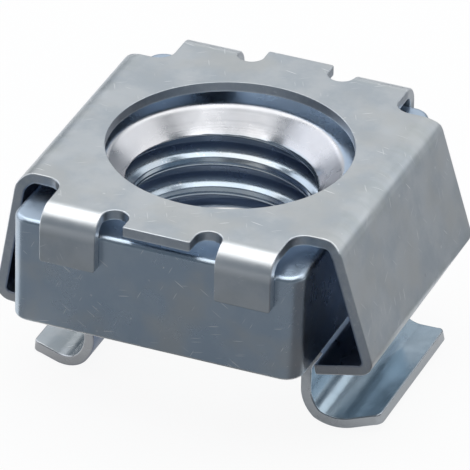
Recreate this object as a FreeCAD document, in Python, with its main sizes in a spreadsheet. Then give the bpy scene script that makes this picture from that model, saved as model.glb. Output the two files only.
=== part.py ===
"""A rack cage nut: an M8 nut block held loosely in a cage folded from one strip of spring steel.

Millimetres and degrees. +Z is up, along the thread's axis. The origin is on that axis at the
block's half height. The cage's two legs point down and end in lips that curl outwards, so the
part stands on the undersides of its lips, as it does on a table.
"""
import FreeCAD, Part
import math
import os

import Sketcher

V = FreeCAD.Vector

# Each size that can be set by itself, with what it measures.
SIZES = {
    "sheet_thickness": (0.4, "thickness of the cage's steel strip"),
    "nut_width": (11.1, "nut block along X"),
    "nut_depth": (13.2, "nut block along Y"),
    "nut_height": (4.2, "nut block along Z"),
    "nut_corner_radius": (0.7, "upright corners of the block"),
    "nut_top_round": (0.2, "rounding of the block's top edge"),
    "nut_foot_round": (0.1, "rounding of the block's lower edge"),
    "cage_offset": (0.2, "how far the cage's middle stands from the block's, within its play, along X"),
    "thread_minor_radius": (3.4, "wall of the hole at the crests of an M8 x 1.25 thread"),
    "top_sink": (0.85, "width and depth of the countersink round the hole in the block's top"),
    "top_sink_round": (0.4, "rounding of that countersink's mouth"),
    "foot_sink": (0.45, "width and depth of the chamfer round the hole in the block's underside"),
    "headroom": (0.4, "gap between the block's top and the plate, and the tabs' inside bend"),
    "seat_gap": (0.08, "gap between the block's lower edges and the folds under them"),
    "tab_gap": (0.03, "gap between the block and the inner face of each tab"),
    "side_gap": (0.45, "from the block's side to the corner of plate and flank, mid-sheet"),
    "plate_hole_radius": (4.5, "round hole in the top plate"),
    "splay_right": (17.2, "right flank's lean from upright, degrees"),
    "splay_left": (9.2, "left flank's lean, smaller because that flank is bent in, degrees"),
    "corner_angle": (85.6, "angle inside the corner between flank and fold, degrees"),
    "leg_turn": (77.2, "bend from the fold down into the leg, degrees"),
    "curl_turn": (102.8, "bend from the leg out into the lip, degrees"),
    "shoulder_bend": (0.4, "inside radius, plate to flank"),
    "corner_bend": (0.15, "inside radius, flank to fold"),
    "leg_bend": (0.65, "inside radius, fold to leg"),
    "curl_bend": (1.12, "inside radius, leg to lip"),
    "fold_run": (1.45, "straight stretch of the fold at the flank's full width"),
    "leg_run": (0.72, "straight stretch of the leg"),
    "lip_run": (1.06, "straight stretch of the lip"),
    "flank_width": (9.97, "flanks and folds along Y"),
    "lip_width": (7.86, "legs and lips along Y"),
    "neck_round": (0.3, "rounded inner corners where the fold narrows to the leg's width"),
    "tip_width": (6.4, "lips along Y at their tips"),
    "taper_run": (2.2, "length over which a lip narrows towards its tip"),
    "tip_round": (0.3, "rounded corners of the lips' tips"),
    "tab_start": (2.28, "from the cage's middle to a tab's inner edge along X"),
    "tab_inset": (1.14, "from the block's side in to a tab's outer edge along X"),
    "tab_drop": (2.1, "from the plate's upper face down to a tab's lower edge"),
    "tongue_width": (2.58, "flat tongue between two tabs, along X"),
    "tongue_overhang": (0.3, "how far a tongue reaches past the block's face"),
    "slot_inset": (0.72, "from the block's face in to the round end of a slot beside a tongue"),
    "relief_radius": (0.65, "round ends of the relief at each corner of the plate"),
    "relief_bite": (0.22, "how deep a relief cuts into the strip's edge"),
}

# What a cut runs past the faces that it leaves.
OVERRUN = 1.0

# Levels and places that several features share, as formulas of the sizes.
PLATE_TOP = "( nut_height / 2 + headroom + sheet_thickness )"
PLATE_MIDDLE = "( nut_height / 2 + headroom + sheet_thickness / 2 )"
PLATE_UNDERSIDE = "( nut_height / 2 + headroom )"
SEAT_LEVEL = "( nut_height / 2 + seat_gap + sheet_thickness / 2 )"
SHOULDER = "( nut_width / 2 + side_gap )"
TAB_EDGE = "( nut_width / 2 - tab_inset )"
FLANGE_START = "( nut_depth / 2 + tab_gap - headroom )"
TONGUE_EDGE = "( nut_depth / 2 + tongue_overhang )"
SLOT_CENTRE = "( nut_depth / 2 - slot_inset + ( tab_start - tongue_width / 2 ) / 2 )"
NECK_RUN = "( 1.1 * neck_round )"
RELIEF_FLOOR = "( flank_width / 2 - relief_bite )"
RELIEF_CENTRE = "( flank_width / 2 - relief_bite + relief_radius )"
RELIEF_NEAR = "( nut_width / 2 - tab_inset + relief_radius )"
RELIEF_FAR = "( nut_width / 2 + side_gap + sheet_thickness / 2 - relief_radius )"


def new_sheet(doc):
    """Makes the sheet of driving dimensions, one alias to a row."""
    sheet = doc.addObject("Spreadsheet::Sheet", "Dimensions")
    for row, (name, (value, meaning)) in enumerate(SIZES.items(), start=1):
        sheet.set(f"A{row}", meaning)
        sheet.set(f"B{row}", str(value))
        sheet.setAlias(f"B{row}", name)
    doc.recompute()


def from_sheet(formula):
    """Turns a formula of size names into one that reads them from the sheet."""
    words = formula.replace("(", " ( ").replace(")", " ) ").split()
    return " ".join(f"Dimensions.{word}" if word in SIZES else word for word in words)


def value_of(doc, formula):
    """Works a formula out from the sheet's present values."""
    return float(doc.Dimensions.evalExpression(from_sheet(formula)))


def origin_plane(body, role):
    """Finds one of the body's own origin planes."""
    return next(plane for plane in body.Origin.OriginFeatures if plane.Role == role)


def new_sketch(body, name, role, level=None):
    """Makes a sketch on one of the body's own origin planes, or lifted off it to a level."""
    sketch = body.newObject("Sketcher::SketchObject", name)
    sketch.AttachmentSupport = [(origin_plane(body, role), "")]
    sketch.MapMode = "FlatFace"
    if level is not None:
        sketch.setExpression("AttachmentOffset.Base.z", f"( {from_sheet(level)} ) * 1 mm")
    return sketch


def constrain(sketch, kind, *where):
    """Adds a constraint that carries no size."""
    sketch.addConstraint(Sketcher.Constraint(kind, *where))


def dimension(sketch, kind, where, formula):
    """Adds a constraint whose size is a formula of the sheet's values."""
    value = value_of(sketch.Document, formula)
    unit = "1 deg" if kind == "Angle" else "1 mm"
    value = math.radians(value) if kind == "Angle" else value
    index = sketch.addConstraint(Sketcher.Constraint(kind, *where, value))
    sketch.setExpression(f"Constraints[{index}]", f"( {from_sheet(formula)} ) * {unit}")


def measure(sketch, name, kind, where, value):
    """Adds a reference dimension that other sketches read by its name."""
    index = sketch.addConstraint(Sketcher.Constraint(kind, *where, value))
    sketch.setDriving(index, False)
    sketch.renameConstraint(index, name)


def arc_about(centre, first, last):
    """The arc that runs anticlockwise about a centre from one point to another."""
    start = math.atan2(first.y - centre.y, first.x - centre.x)
    end = math.atan2(last.y - centre.y, last.x - centre.x)
    circle = Part.Circle(centre, V(0, 0, 1), (first - centre).Length)
    return Part.ArcOfCircle(circle, start, end if end > start else end + 2 * math.pi)


def draw_outline(sketch, points, arcs=None):
    """Draws a closed outline through points, each a pair of formulas.

    arcs maps the index of a round side to the formulas of its centre and to whether it runs
    anticlockwise.
    """
    arcs = arcs or {}
    doc = sketch.Document
    spots = [V(value_of(doc, x), value_of(doc, y)) for x, y in points]
    sides = []
    for i, start in enumerate(spots):
        end = spots[(i + 1) % len(spots)]
        if i not in arcs:
            sides.append((sketch.addGeometry(Part.LineSegment(start, end), False), 1, 2))
            continue
        x, y, anticlockwise = arcs[i]
        centre = V(value_of(doc, x), value_of(doc, y))
        arc = arc_about(centre, start, end) if anticlockwise else arc_about(centre, end, start)
        index = sketch.addGeometry(arc, False)
        sides.append((index, 1, 2) if anticlockwise else (index, 2, 1))
    for i, (side, _, end) in enumerate(sides):
        following, start, _ = sides[(i + 1) % len(sides)]
        constrain(sketch, "Coincident", side, end, following, start)
    for (side, start, _), (x, y) in zip(sides, points):
        dimension(sketch, "DistanceX", (-1, 1, side, start), x)
        dimension(sketch, "DistanceY", (-1, 1, side, start), y)
    for i, (_, y, _) in arcs.items():
        dimension(sketch, "DistanceY", (-1, 1, sides[i][0], 3), y)


def draw_rectangle(sketch, low_x, low_y, high_x, high_y):
    """Draws a rectangle between two corners given as formulas."""
    draw_outline(sketch, [(low_x, low_y), (high_x, low_y), (high_x, high_y), (low_x, high_y)])


def draw_circle(sketch, radius):
    """Draws a circle about the sketch's origin, its radius a formula."""
    doc = sketch.Document
    circle = sketch.addGeometry(Part.Circle(V(0, 0), V(0, 0, 1), value_of(doc, radius)), False)
    constrain(sketch, "Coincident", circle, 3, -1, 1)
    dimension(sketch, "Radius", (circle,), radius)


def pad(body, sketch, name, length):
    """Raises a sketch's outline by a formula of sizes."""
    feature = body.newObject("PartDesign::Pad", name)
    feature.Profile = sketch
    feature.setExpression("Length", f"( {from_sheet(length)} ) * 1 mm")


def pocket(body, sketch, name, length):
    """Cuts a sketch's outline out of the body, from the sketch down."""
    feature = body.newObject("PartDesign::Pocket", name)
    feature.Profile = sketch
    feature.setExpression("Length", f"( {from_sheet(length)} ) * 1 mm")


def sweep(body, name, profile, spine, edges):
    """Sweeps a cross-section along the first edges of a spine."""
    pipe = body.newObject("PartDesign::AdditivePipe", name)
    pipe.Profile = profile
    pipe.Spine = (spine, [f"Edge{i + 1}" for i in range(edges)])
    return pipe


def dress_edges(body, kind, name, size, wanted):
    """Rounds or chamfers the edges whose middle point and tangent there pass a test."""
    body.Document.recompute()
    base = body.Tip
    found = []
    for number, edge in enumerate(base.Shape.Edges, start=1):
        middle = sum(edge.ParameterRange) / 2
        if wanted(edge.valueAt(middle), edge.tangentAt(middle)):
            found.append(f"Edge{number}")
    feature = body.newObject(f"PartDesign::{kind}", name)
    feature.Base = (base, found)
    size_property = "Radius" if kind == "Fillet" else "Size"
    feature.setExpression(size_property, f"( {from_sheet(size)} ) * 1 mm")


def fillet(body, name, radius, wanted):
    """Rounds the edges that pass a test."""
    dress_edges(body, "Fillet", name, radius, wanted)


def chamfer(body, name, size, wanted):
    """Chamfers the edges that pass a test."""
    dress_edges(body, "Chamfer", name, size, wanted)


def heading_vector(angle):
    """The unit vector along a heading in the sketch's plane."""
    return V(math.cos(angle), math.sin(angle))


def crossing(first, first_heading, second, second_heading):
    """The point where two lines, each a point and a heading, cross."""
    u = heading_vector(first_heading)
    w = heading_vector(second_heading)
    gap = second - first
    return first + u * ((gap.x * w.y - gap.y * w.x) / (u.x * w.y - u.y * w.x))


def bend_headings(splay, side):
    """Headings after each bend as formulas; side is 1 on the right, -1 on the left.

    They are those of flank, fold, neck, leg and lip. The neck runs on in line with the fold.
    """
    flank = f"( {splay} - 90 )"
    fold = f"( {splay} - 270 + corner_angle )"
    leg = f"( {splay} - 270 + corner_angle + leg_turn )"
    lip = f"( {splay} - 270 + corner_angle + leg_turn + curl_turn )"
    headings = [flank, fold, fold, leg, lip]
    return headings if side > 0 else [f"( 180 - {heading} )" for heading in headings]


def outwards(geometry, end, side):
    """Orders a point and the origin so that the distance along X is positive."""
    return (-1, 1, geometry, end) if side > 0 else (geometry, end, -1, 1)


def draw_side_spine(body, name, splay, side):
    """Draws the strip's middle line on one side: plate, flank, fold, neck, leg and lip.

    Straight stretches join tangent arcs. The fold's line passes just under the block's lower
    edge, so the flank's length follows the block's height. Reference dimensions give the
    levels where fold and leg end and the tip's reach, for the cuts that shape the lip.
    """
    sketch = new_sketch(body, name, "XZ_Plane")
    doc = sketch.Document
    angles = bend_headings(splay, side)
    radii = [f"( {bend} + sheet_thickness / 2 )" if bend else None
             for bend in ("shoulder_bend", "corner_bend", None, "leg_bend", "curl_bend")]
    runs = ("fold_run", NECK_RUN, "leg_run", "lip_run")
    level = value_of(doc, PLATE_MIDDLE)
    headings = [0.0 if side > 0 else math.pi]
    headings += [math.radians(value_of(doc, angle)) for angle in angles]
    turns = [math.remainder(after - before, 2 * math.pi)
             for before, after in zip(headings, headings[1:])]
    bends = [value_of(doc, radius) if radius else 0.0 for radius in radii]
    shoulder = V(side * value_of(doc, SHOULDER), level)
    seat = V(side * value_of(doc, "nut_width / 2"), -value_of(doc, SEAT_LEVEL))
    corner = crossing(shoulder, headings[1], seat, headings[2])
    trims = [bend * math.tan(abs(turn) / 2) for bend, turn in zip(bends, turns)]
    lengths = [abs(shoulder.x) - trims[0], (corner - shoulder).Length - trims[0] - trims[1]]
    lengths += [value_of(doc, run) for run in runs]

    pen = V(0, level)
    lines, curves, ends = [], [], []
    for heading, length, turn, bend in zip(headings, lengths, turns + [0.0], bends + [0.0]):
        end = pen + heading_vector(heading) * length
        lines.append(sketch.addGeometry(Part.LineSegment(pen, end), False))
        ends.append(end)
        pen = end
        if not bend:
            curves.append(None)
            continue
        inward = heading + math.copysign(math.pi / 2, turn)
        centre = end + heading_vector(inward) * bend
        pen = centre - heading_vector(inward + turn) * bend
        arc = arc_about(centre, end, pen) if turn > 0 else arc_about(centre, pen, end)
        index = sketch.addGeometry(arc, False)
        curves.append((index, 1, 2) if turn > 0 else (index, 2, 1))

    for line, following, curve, radius, angle in zip(lines, lines[1:], curves, radii, angles):
        if curve is None:
            constrain(sketch, "Coincident", line, 2, following, 1)
            constrain(sketch, "Parallel", line, following)
            continue
        bend, start, end = curve
        constrain(sketch, "Tangent", line, 2, bend, start)
        constrain(sketch, "Tangent", bend, end, following, 1)
        dimension(sketch, "Radius", (bend,), radius)
        dimension(sketch, "Angle", (following,), angle)
    constrain(sketch, "PointOnObject", lines[0], 1, -2)
    constrain(sketch, "Horizontal", lines[0])
    dimension(sketch, "DistanceY", (-1, 1, lines[0], 1), PLATE_MIDDLE)
    for line, run in zip(lines[2:], runs):
        dimension(sketch, "Distance", (line,), run)
    shoulder_mark = sketch.addGeometry(Part.Point(shoulder), True)
    constrain(sketch, "PointOnObject", shoulder_mark, 1, lines[0])
    constrain(sketch, "PointOnObject", shoulder_mark, 1, lines[1])
    dimension(sketch, "DistanceX", outwards(shoulder_mark, 1, side), SHOULDER)
    seat_mark = sketch.addGeometry(Part.Point(seat), True)
    constrain(sketch, "PointOnObject", seat_mark, 1, lines[2])
    dimension(sketch, "DistanceX", outwards(seat_mark, 1, side), "nut_width / 2")
    dimension(sketch, "DistanceY", (seat_mark, 1, -1, 1), SEAT_LEVEL)
    measure(sketch, "fold_end_depth", "DistanceY", (lines[2], 2, -1, 1), -ends[2].y)
    measure(sketch, "leg_end_depth", "DistanceY", (lines[4], 2, -1, 1), -ends[4].y)
    measure(sketch, "tip_reach", "DistanceX", outwards(lines[5], 2, side), abs(ends[5].x))
    doc.recompute()
    return sketch


def add_side(body, name, spine):
    """Folds the strip down one side: full width as far as the fold, narrower over leg and lip."""
    for part, width, edges in (("Leg", "lip_width", 10), ("Flank", "flank_width", 5)):
        profile = new_sketch(body, f"{name}{part}Section", "YZ_Plane")
        draw_rectangle(profile, f"0 - {width} / 2", PLATE_UNDERSIDE, f"{width} / 2", PLATE_TOP)
        sweep(body, f"{name}{part}", profile, spine, edges)


def add_plate(body):
    """Widens the top plate to its tongues, tab roots and the webs beside the corner reliefs."""
    for name, x, y in (
        ("TabRoots", TAB_EDGE, FLANGE_START),
        ("CornerWebs", RELIEF_NEAR, RELIEF_CENTRE),
        ("Tongues", "( tongue_width / 2 )", TONGUE_EDGE),
    ):
        sketch = new_sketch(body, f"{name}Outline", "XY_Plane", PLATE_UNDERSIDE)
        draw_rectangle(sketch, f"0 - {x}", f"0 - {y}", x, y)
        pad(body, sketch, name, "sheet_thickness")


def draw_flange_spine(body):
    """Draws a tab's middle line: along the plate, round the bend and down the block's face."""
    sketch = new_sketch(body, "FlangeSpine", "YZ_Plane")
    doc = sketch.Document
    level = value_of(doc, PLATE_MIDDLE)
    radius = value_of(doc, "headroom + sheet_thickness / 2")
    centre = V(value_of(doc, FLANGE_START), level - radius)
    top, side = centre + V(0, radius), centre + V(radius, 0)
    bottom = V(side.x, value_of(doc, f"{PLATE_TOP} - tab_drop"))
    along = sketch.addGeometry(Part.LineSegment(V(0, level), top), False)
    bend = sketch.addGeometry(arc_about(centre, side, top), False)
    down = sketch.addGeometry(Part.LineSegment(side, bottom), False)
    constrain(sketch, "PointOnObject", along, 1, -2)
    constrain(sketch, "Horizontal", along)
    constrain(sketch, "Tangent", along, 2, bend, 2)
    constrain(sketch, "Tangent", bend, 1, down, 1)
    constrain(sketch, "Vertical", down)
    dimension(sketch, "DistanceY", (-1, 1, along, 1), PLATE_MIDDLE)
    dimension(sketch, "Distance", (along,), FLANGE_START)
    dimension(sketch, "Radius", (bend,), "headroom + sheet_thickness / 2")
    dimension(sketch, "DistanceY", (-1, 1, down, 2), f"{PLATE_TOP} - tab_drop")
    doc.recompute()
    return sketch


def add_tabs(body):
    """Bends the four tabs down over the block's front and back faces."""
    spine = draw_flange_spine(body)
    tabs = []
    for side, name in ((1, "Right"), (-1, "Left")):
        near, far = f"{side} * tongue_width / 2", f"{side} * {TAB_EDGE}"
        low, high = (near, far) if side > 0 else (far, near)
        profile = new_sketch(body, f"{name}TabSection", "XZ_Plane")
        draw_rectangle(profile, low, PLATE_UNDERSIDE, high, PLATE_TOP)
        tabs.append(sweep(body, f"{name}Tab", profile, spine, 3))
    body.Document.recompute()
    twin = body.newObject("PartDesign::Mirrored", "FrontTabs")
    twin.Originals = tabs
    twin.MirrorPlane = (origin_plane(body, "XZ_Plane"), [""])
    body.Tip = twin


def cut_slots(body):
    """Cuts the four round-ended slots that part the flat tongues from the bent tabs."""
    sketch = new_sketch(body, "SlotOutlines", "XY_Plane", PLATE_TOP)
    for sx in (1, -1):
        for sy in (1, -1):
            near, far = f"{sx} * tongue_width / 2", f"{sx} * tab_start"
            middle = f"{sx} * ( tongue_width / 2 + tab_start ) / 2"
            centre = f"{sy} * {SLOT_CENTRE}"
            outside = f"{sy} * ( nut_depth / 2 + sheet_thickness + {OVERRUN} )"
            draw_outline(
                sketch,
                [(near, outside), (near, centre), (far, centre), (far, outside)],
                {1: (middle, centre, sx * sy > 0)},
            )
    pocket(body, sketch, "Slots", f"tab_drop + {OVERRUN}")


def cut_reliefs(body):
    """Cuts the round-ended relief at each corner, between a tab and the strip's edge."""
    sketch = new_sketch(body, "ReliefOutlines", "XY_Plane", PLATE_TOP)
    for sx in (1, -1):
        for sy in (1, -1):
            edge = f"{sx} * {TAB_EDGE}"
            end = f"{sx} * ( {RELIEF_FAR} + relief_radius )"
            near, far = f"{sx} * {RELIEF_NEAR}", f"{sx} * {RELIEF_FAR}"
            floor, centre = f"{sy} * {RELIEF_FLOOR}", f"{sy} * {RELIEF_CENTRE}"
            outside = f"{sy} * ( {RELIEF_CENTRE} + {OVERRUN} )"
            anticlockwise = sx * sy > 0
            draw_outline(
                sketch,
                [(edge, outside), (edge, centre), (near, floor), (far, floor), (end, centre),
                 (end, outside)],
                {1: (near, centre, anticlockwise), 3: (far, centre, anticlockwise)},
            )
    pocket(body, sketch, "Reliefs", "sheet_thickness + shoulder_bend")


def cut_hole(body):
    """Cuts the round hole over the thread."""
    sketch = new_sketch(body, "HoleOutline", "XY_Plane", PLATE_TOP)
    draw_circle(sketch, "plate_hole_radius")
    pocket(body, sketch, "Hole", "sheet_thickness + headroom / 2")


def taper_lip(body, name, spine, side):
    """Narrows a lip towards its tip with a straight cut on either side."""
    tip = f"( {spine.Name}.Constraints.tip_reach / 1 mm )"
    start = f"{side} * ( {tip} - taper_run )"
    sketch = new_sketch(body, f"{name}TaperOutline", "XY_Plane",
                        f"0 - {spine.Name}.Constraints.leg_end_depth / 1 mm")
    end = f"{side} * ( {tip} + {OVERRUN} )"
    narrowing = f"( lip_width - tip_width ) / 2 * ( 1 + {OVERRUN} / taper_run )"
    for sy in (1, -1):
        wide = f"{sy} * lip_width / 2"
        narrow = f"{sy} * ( lip_width / 2 - {narrowing} )"
        outside = f"{sy} * ( lip_width / 2 + {OVERRUN} )"
        draw_outline(sketch, [(start, wide), (end, narrow), (end, outside), (start, outside)])
    pocket(body, sketch, f"{name}Taper", f"curl_bend + 2 * sheet_thickness + {OVERRUN}")


def round_lips(body, spines):
    """Rounds the inner corners beside the legs and the corners of the tips."""
    doc = body.Document
    neck = value_of(doc, "lip_width / 2")
    tip = value_of(doc, "tip_width / 2")
    near = value_of(doc, "sheet_thickness / 4")
    depths = [value_of(doc, f"{spine.Name}.Constraints.fold_end_depth / 1 mm") for spine in spines]
    fillet(body, "NeckRounds", "neck_round",
           lambda point, tangent: abs(abs(point.y) - neck) < near
           and abs(tangent.z) > 0.9
           and min(abs(point.z + depth) for depth in depths) < near)
    fillet(body, "TipRounds", "tip_round",
           lambda point, tangent: abs(abs(point.y) - tip) < near
           and abs(tangent.z) > 0.9
           and point.z < -max(depths))


def build_cage(doc):
    """Builds the cage: one strip folded into flanks, folds, legs and lips, with bent tabs."""
    body = doc.addObject("PartDesign::Body", "Cage")
    body.Label = "cage"
    body.setExpression("Placement.Base.x", "Dimensions.cage_offset * 1 mm")
    sides = []
    for side, name in ((1, "Right"), (-1, "Left")):
        spine = draw_side_spine(body, f"{name}Spine", f"splay_{name.lower()}", side)
        add_side(body, name, spine)
        sides.append((side, name, spine))
    add_plate(body)
    add_tabs(body)
    cut_slots(body)
    cut_reliefs(body)
    cut_hole(body)
    for side, name, spine in sides:
        taper_lip(body, name, spine, side)
    round_lips(body, [spine for _, _, spine in sides])
    doc.recompute()
    return body


def build_nut(doc):
    """Builds the nut block with its hole, countersinks and rounded edges."""
    body = doc.addObject("PartDesign::Body", "Nut")
    body.Label = "nut"
    body.Placement = FreeCAD.Placement()
    outline = new_sketch(body, "BlockOutline", "XY_Plane", "0 - nut_height / 2")
    draw_rectangle(outline, "0 - nut_width / 2", "0 - nut_depth / 2", "nut_width / 2", "nut_depth / 2")
    pad(body, outline, "Block", "nut_height")
    top = value_of(doc, "nut_height / 2")
    touch = 1e-6
    fillet(body, "BlockCorners", "nut_corner_radius", lambda point, tangent: abs(tangent.z) > 0.99)
    fillet(body, "TopEdge", "nut_top_round", lambda point, tangent: point.z > top - touch)
    fillet(body, "FootEdge", "nut_foot_round", lambda point, tangent: point.z < touch - top)

    bore = new_sketch(body, "BoreOutline", "XY_Plane", "nut_height / 2")
    draw_circle(bore, "thread_minor_radius")
    pocket(body, bore, "Bore", "nut_height")
    rim = value_of(doc, "thread_minor_radius")
    chamfer(body, "TopSink", "top_sink",
            lambda point, tangent: point.z > top - touch
            and abs(math.hypot(point.x, point.y) - rim) < touch)
    mouth = value_of(doc, "thread_minor_radius + top_sink")
    fillet(body, "TopSinkMouth", "top_sink_round",
           lambda point, tangent: point.z > top - touch
           and abs(math.hypot(point.x, point.y) - mouth) < touch)
    chamfer(body, "FootSink", "foot_sink",
            lambda point, tangent: point.z < touch - top
            and abs(math.hypot(point.x, point.y) - rim) < touch)
    doc.recompute()
    return body


def check(doc, bodies):
    """Stops if a feature failed or a body isn't one sound solid."""
    for item in doc.Objects:
        faults = {"Invalid", "Error"} & set(item.State)
        if faults:
            raise RuntimeError(f"{item.Name} is {', '.join(sorted(faults))}")
    for body in bodies:
        shape = body.Shape
        if shape.isNull() or not shape.isValid() or len(shape.Solids) != 1:
            raise RuntimeError(f"{body.Label} isn't one sound solid")
        print(f"{body.Label}: {shape.Volume:.3f} mm3, {shape.BoundBox}")


def main():
    """Builds both pieces, checks them and writes each to its own file."""
    doc = FreeCAD.newDocument("CageNut")
    new_sheet(doc)
    bodies = [build_cage(doc), build_nut(doc)]
    check(doc, bodies)
    os.makedirs("parts", exist_ok=True)
    for body in bodies:
        body.Shape.exportStep(f"parts/{body.Label}.step")


main()
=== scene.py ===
"""The looks of a rack cage nut: a threaded steel block held in a cage folded from spring strip.

Sizes are in millimetres and degrees and become metres in the meshes. +Z runs up the thread's
axis and the origin is on that axis at half the block's height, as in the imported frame.
"""

import logging
import math
from collections.abc import Sequence
from dataclasses import dataclass, field
from enum import Enum, IntEnum, auto
from functools import partialmethod

import bmesh
import bpy
import numpy as np
from mathutils import Matrix, Vector
from mathutils.geometry import delaunay_2d_cdt


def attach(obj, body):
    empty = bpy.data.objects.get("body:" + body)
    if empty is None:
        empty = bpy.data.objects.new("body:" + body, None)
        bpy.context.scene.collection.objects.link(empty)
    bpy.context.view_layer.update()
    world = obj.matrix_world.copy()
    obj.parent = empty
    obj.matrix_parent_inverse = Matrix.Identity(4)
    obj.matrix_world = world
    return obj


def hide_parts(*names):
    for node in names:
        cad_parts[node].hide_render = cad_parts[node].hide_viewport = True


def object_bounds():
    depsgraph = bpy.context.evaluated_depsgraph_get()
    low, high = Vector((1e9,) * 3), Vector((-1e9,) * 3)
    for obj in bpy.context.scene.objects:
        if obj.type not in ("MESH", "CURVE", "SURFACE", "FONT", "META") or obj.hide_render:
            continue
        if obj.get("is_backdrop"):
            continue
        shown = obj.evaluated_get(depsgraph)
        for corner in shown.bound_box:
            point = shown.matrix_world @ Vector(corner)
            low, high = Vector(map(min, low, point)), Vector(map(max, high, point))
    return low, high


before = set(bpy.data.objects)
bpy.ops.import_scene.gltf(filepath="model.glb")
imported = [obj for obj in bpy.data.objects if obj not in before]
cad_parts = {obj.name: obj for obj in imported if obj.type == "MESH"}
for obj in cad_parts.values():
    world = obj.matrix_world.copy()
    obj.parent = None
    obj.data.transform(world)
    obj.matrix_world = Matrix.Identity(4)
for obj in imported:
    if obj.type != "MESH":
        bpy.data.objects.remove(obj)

log = logging.getLogger("cage_nut")

MM = 0.001
BEND_EASE = 0.25
Socket = bpy.types.NodeSocket
Colour = tuple[float, float, float]


class Side(Enum):
    """The two sides of the cage, each with its sign along X."""

    RIGHT = 1
    LEFT = -1


class Run(IntEnum):
    """The stretches of the strip on one side, in order from the plate's middle."""

    PLATE = 0
    SHOULDER = auto()
    FLANK = auto()
    CORNER = auto()
    FOLD = auto()
    NECK = auto()
    LEG = auto()
    CURL = auto()
    LIP = auto()


class Field(Enum):
    """Numbers that a mesh carries for its finish, by the name of the attribute."""

    PLACE = "strip_place"
    CUT = "cut_edge"
    BEND = "bend"


class Tint(Enum):
    """Colours that the plating takes on in places; some are painted shade, highlight or reflection."""

    WARM = (0.63, 0.63, 0.61, 1.0)
    STRETCHED = (0.50, 0.53, 0.52, 1.0)
    SPECK = (0.34, 0.35, 0.38, 1.0)
    SCRATCH = (0.97, 0.97, 0.97, 1.0)
    GROOVE_SHADE = (0.23, 0.29, 0.41, 1.0)
    BLOCK_TOP_REFLECTION = (0.58, 0.69, 0.83, 1.0)
    CONE = (0.69, 0.67, 0.68, 1.0)
    WORN_AND_HIGHLIGHT = (0.95, 0.94, 0.91, 1.0)
    RUBBED_HIGHLIGHT = (0.90, 0.91, 0.92, 1.0)
    UNDER_PLATE_SHADE = (0.88, 0.92, 0.96, 1.0)
    IN_FLANK_SHADE = (0.15, 0.21, 0.34, 1.0)
    RIGHT_LIP_REFLECTION = (0.36, 0.48, 0.58, 1.0)
    LIP_EDGE = (0.46, 0.45, 0.45, 1.0)


def blank_material(name: str) -> bpy.types.Material:
    """Makes a material with an empty node tree.

    Args:
        name: its name.

    Returns:
        The material.
    """
    made = bpy.data.materials.new(name)
    made.use_nodes = True
    made.node_tree.nodes.clear()
    return made


def unit(rows: np.ndarray) -> np.ndarray:
    """Gives each row of an array the length 1."""
    return rows / np.linalg.norm(rows, axis=1)[:, None]


def inside(points: np.ndarray, loop: np.ndarray) -> np.ndarray:
    """Tells which points lie inside a closed line.

    Args:
        points: the points, one to a row.
        loop: the line's points.

    Returns:
        True for each point inside.
    """
    found = np.zeros(len(points), bool)
    for (ax, ay), (bx, by) in zip(loop, np.roll(loop, -1, axis=0)):
        if ay != by:
            at = ax + (points[:, 1] - ay) * (bx - ax) / (by - ay)
            found ^= ((points[:, 1] < ay) != (points[:, 1] < by)) & (points[:, 0] < at)
    return found


class Graph:
    """Adds nodes to one tree and joins them, for materials and for Geometry Nodes alike."""

    def __init__(self, tree: bpy.types.NodeTree) -> None:
        """Keeps the tree to add to."""
        self.tree = tree

    def add(self, kind: str, inputs: dict | None = None, **settings: object) -> bpy.types.Node:
        """Adds a node.

        Args:
            kind: the node's type name in Blender.
            inputs: values or sockets for its inputs, by name or by index.
            settings: properties of the node itself.

        Returns:
            The node.
        """
        node = self.tree.nodes.new(kind)
        for name, value in settings.items():
            setattr(node, name, value)
        for key, value in (inputs or {}).items():
            self.feed(node.inputs[key], value)
        return node

    def feed(self, socket: Socket, value: object) -> None:
        """Gives a socket a value, or a link if the value is itself a socket.

        Args:
            socket: the input.
            value: a number, a tuple, a tint or an output socket.
        """
        if isinstance(value, Socket):
            self.tree.links.new(value, socket)
        else:
            socket.default_value = value.value if isinstance(value, Tint) else value

    def math(self, operation: str, *values: object, clamp: bool = False) -> Socket:
        """Adds a Math node, its operation given by name, and gives its output."""
        node = self.add("ShaderNodeMath", dict(enumerate(values)), operation=operation, use_clamp=clamp)
        return node.outputs[0]

    # The operations used most have names of their own; `size` drops a number's sign.
    plus = partialmethod(math, "ADD")
    minus = partialmethod(math, "SUBTRACT")
    times = partialmethod(math, "MULTIPLY")
    over = partialmethod(math, "DIVIDE")
    times_plus = partialmethod(math, "MULTIPLY_ADD")
    least = partialmethod(math, "MINIMUM")
    most = partialmethod(math, "MAXIMUM")
    size = partialmethod(math, "ABSOLUTE")

    def ease(self, value: Socket, low: float, high: float, start: float = 0.0,
             end: float = 1.0) -> Socket:
        """Maps a range of values onto another, holds it there and eases its ends.

        Args:
            value: the number to map.
            low: where the range starts.
            high: where it ends.
            start: the result at the start.
            end: the result at the end.

        Returns:
            The mapped number.
        """
        node = self.add("ShaderNodeMapRange", {0: value, 1: low, 2: high, 3: start, 4: end},
                        interpolation_type="SMOOTHSTEP")
        return node.outputs[0]

    def parts(self, vector: Socket) -> Sequence[Socket]:
        """Splits a vector into X, Y and Z."""
        return self.add("ShaderNodeSeparateXYZ", {0: vector}).outputs[:3]

    def blend(self, factor: Socket, first: object, second: object) -> Socket:
        """Blends two colours.

        Args:
            factor: 0 for the first, 1 for the second.
            first: a colour, a tint or a socket.
            second: a colour, a tint or a socket.

        Returns:
            The blended colour.
        """
        node = self.add("ShaderNodeMix", data_type="RGBA")
        for index, value in ((0, factor), (6, first), (7, second)):
            self.feed(node.inputs[index], value)
        return node.outputs[2]


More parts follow.
